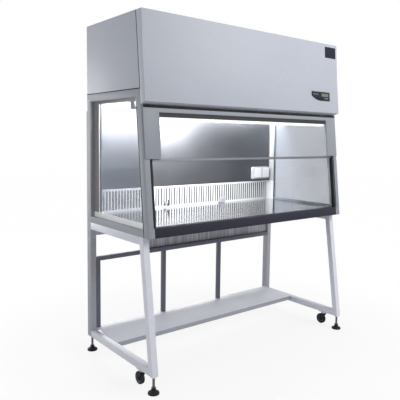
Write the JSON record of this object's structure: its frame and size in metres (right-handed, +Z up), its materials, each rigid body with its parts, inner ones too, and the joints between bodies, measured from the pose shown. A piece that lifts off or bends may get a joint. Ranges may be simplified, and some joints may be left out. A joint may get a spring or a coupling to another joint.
{
  "type": "laminar flow hood",
  "caption": "Laminar flow hood on its stand: leaning front with a sliding glass sash, glazed sides, slotted return grille, hinged top cover, lower shelf, casters and levelling feet.",
  "frame": {"origin": "centre of the footprint on the floor, under the middle of the overall box", "axes": "+Z up, -Y towards the user, X along the cabinet's width"},
  "size_m": [1.877, 0.8866, 2.3215],
  "materials": {
    "stand_paint": "light grey powder coat",
    "cabinet_paint": "light grey powder coat",
    "sill_paint": "dark satin coat",
    "stainless": "brushed stainless steel",
    "galvanised": "bare zinc coated sheet",
    "window_glass": "clear toughened glass",
    "filter_alloy": "natural aluminium with white pleats",
    "black_plastic": "black moulding",
    "white_plastic": "white moulding",
    "dark_plastic": "dark moulding",
    "button_plastic": "grey moulding",
    "display_glass": "green tinted display",
    "valve_chrome": "polished",
    "handle_black": "black lever",
    "plate_alloy": "plain satin plate"
  },
  "bodies": {
    "cabinet": {"back_wall": "stainless", "caster_plate_left": "galvanised", "caster_plate_right": "galvanised", "chamber_lamp": "white_plastic", "drip_pan": "stainless", "exhaust_filter": "filter_alloy", "foot_locknuts": "galvanised", "front_leg_left": "stand_paint", "front_leg_right": "stand_paint", "front_post_left": "cabinet_paint", "front_post_right": "cabinet_paint", "front_sill": "sill_paint", "lower_shelf": "stand_paint", "plenum_box": "galvanised", "rear_frame": "stand_paint", "rear_panel": "cabinet_paint", "rear_upright_left": "stand_paint", "rear_upright_right": "stand_paint", "return_grille": "stainless", "sash_fascia": "cabinet_paint", "sash_guide_left": "black_plastic", "sash_guide_right": "black_plastic", "service_valve": "valve_chrome", "side_bottom_rail_left": "stand_paint", "side_bottom_rail_right": "stand_paint", "side_frame_left": "cabinet_paint", "side_frame_right": "cabinet_paint", "side_glass_left": "window_glass", "side_glass_right": "window_glass", "side_panel_left": "cabinet_paint", "side_panel_right": "cabinet_paint", "side_top_rail_left": "stand_paint", "side_top_rail_right": "stand_paint", "socket_box": "white_plastic", "supply_filter": "filter_alloy", "terminal_box": "white_plastic", "top_panel": "cabinet_paint", "uv_lamp": "white_plastic", "worktop": "stainless"},
    "front_cover": {"front_cover": "cabinet_paint", "control_console": "dark_plastic", "console_display": "display_glass", "blank_plate": "plate_alloy"},
    "sash": {"sash_glass": "window_glass", "sash_handle": "stainless"},
    "blower": {"blower_impeller": "galvanised"},
    "socket_flap_left": {"socket_flap_left": "white_plastic"},
    "socket_flap_right": {"socket_flap_right": "white_plastic"},
    "valve_handle": {"valve_handle": "handle_black"},
    "button_1": {"console_button_1": "button_plastic"},
    "button_2": {"console_button_2": "button_plastic"},
    "button_3": {"console_button_3": "button_plastic"},
    "foot_front_left": {"foot_front_left": "black_plastic"},
    "foot_front_right": {"foot_front_right": "black_plastic"},
    "foot_rear_left": {"foot_rear_left": "black_plastic"},
    "foot_rear_right": {"foot_rear_right": "black_plastic"},
    "caster_left": {"caster_fork_left": "black_plastic"},
    "wheel_left": {"caster_wheel_left": "black_plastic"},
    "caster_right": {"caster_fork_right": "black_plastic"},
    "wheel_right": {"caster_wheel_right": "black_plastic"}
  },
  "joints": [
    {"name": "sash_slide", "type": "slide", "parent": "cabinet", "child": "sash", "axis": [0, -0.1132, -0.9936], "range_m": [0, 0.399]},
    {"name": "cover_hinge", "type": "hinge", "parent": "cabinet", "child": "front_cover", "pos_m": [0, -0.22315, 2.3185], "axis": [-1, 0, 0], "range_deg": [0, 80]},
    {"name": "button_1_press", "type": "slide", "parent": "front_cover", "child": "button_1", "axis": [0, 0.9949, -0.1007], "range_m": [0, 0.001], "stiffness_N_per_m": 300, "springref_m": -0.0005},
    {"name": "button_2_press", "type": "slide", "parent": "front_cover", "child": "button_2", "axis": [0, 0.9949, -0.1007], "range_m": [0, 0.001], "stiffness_N_per_m": 300, "springref_m": -0.0005},
    {"name": "button_3_press", "type": "slide", "parent": "front_cover", "child": "button_3", "axis": [0, 0.9949, -0.1007], "range_m": [0, 0.001], "stiffness_N_per_m": 300, "springref_m": -0.0005},
    {"name": "blower_spin", "type": "hinge", "parent": "cabinet", "child": "blower", "pos_m": [0, 0.09085, 2.05], "axis": [0, 0, 1], "continuous": true},
    {"name": "socket_flap_left_hinge", "type": "hinge", "parent": "cabinet", "child": "socket_flap_left", "pos_m": [0.6875, 0.33135, 1.298], "axis": [-1, 0, 0], "range_deg": [0, 100], "stiffness_Nm_per_rad": 0.02, "springref_deg": -17.19},
    {"name": "socket_flap_right_hinge", "type": "hinge", "parent": "cabinet", "child": "socket_flap_right", "pos_m": [0.7825, 0.33135, 1.298], "axis": [-1, 0, 0], "range_deg": [0, 100], "stiffness_Nm_per_rad": 0.02, "springref_deg": -17.19},
    {"name": "valve_turn", "type": "hinge", "parent": "cabinet", "child": "valve_handle", "pos_m": [-0.29, 0.31985, 1.04], "axis": [0, -1, 0], "range_deg": [0, 90]},
    {"name": "foot_front_left_turn", "type": "hinge", "parent": "cabinet", "child": "foot_front_left", "pos_m": [-0.9025, -0.40735, 0.06], "axis": [0, 0, 1], "continuous": true},
    {"name": "foot_front_right_turn", "type": "hinge", "parent": "cabinet", "child": "foot_front_right", "pos_m": [0.9025, -0.40735, 0.06], "axis": [0, 0, 1], "continuous": true},
    {"name": "foot_rear_left_turn", "type": "hinge", "parent": "cabinet", "child": "foot_rear_left", "pos_m": [-0.9025, 0.40735, 0.06], "axis": [0, 0, 1], "continuous": true},
    {"name": "foot_rear_right_turn", "type": "hinge", "parent": "cabinet", "child": "foot_rear_right", "pos_m": [0.9025, 0.40735, 0.06], "axis": [0, 0, 1], "continuous": true},
    {"name": "caster_left_swivel", "type": "hinge", "parent": "cabinet", "child": "caster_left", "pos_m": [-0.9025, -0.27915, 0.095], "axis": [0, 0, 1], "continuous": true},
    {"name": "wheel_left_roll", "type": "hinge", "parent": "caster_left", "child": "wheel_left", "pos_m": [-0.9025, -0.25115, 0.043], "axis": [1, 0, 0], "continuous": true},
    {"name": "caster_right_swivel", "type": "hinge", "parent": "cabinet", "child": "caster_right", "pos_m": [0.9025, -0.27915, 0.095], "axis": [0, 0, 1], "continuous": true},
    {"name": "wheel_right_roll", "type": "hinge", "parent": "caster_right", "child": "wheel_right", "pos_m": [0.9025, -0.25115, 0.043], "axis": [1, 0, 0], "continuous": true}
  ]
}
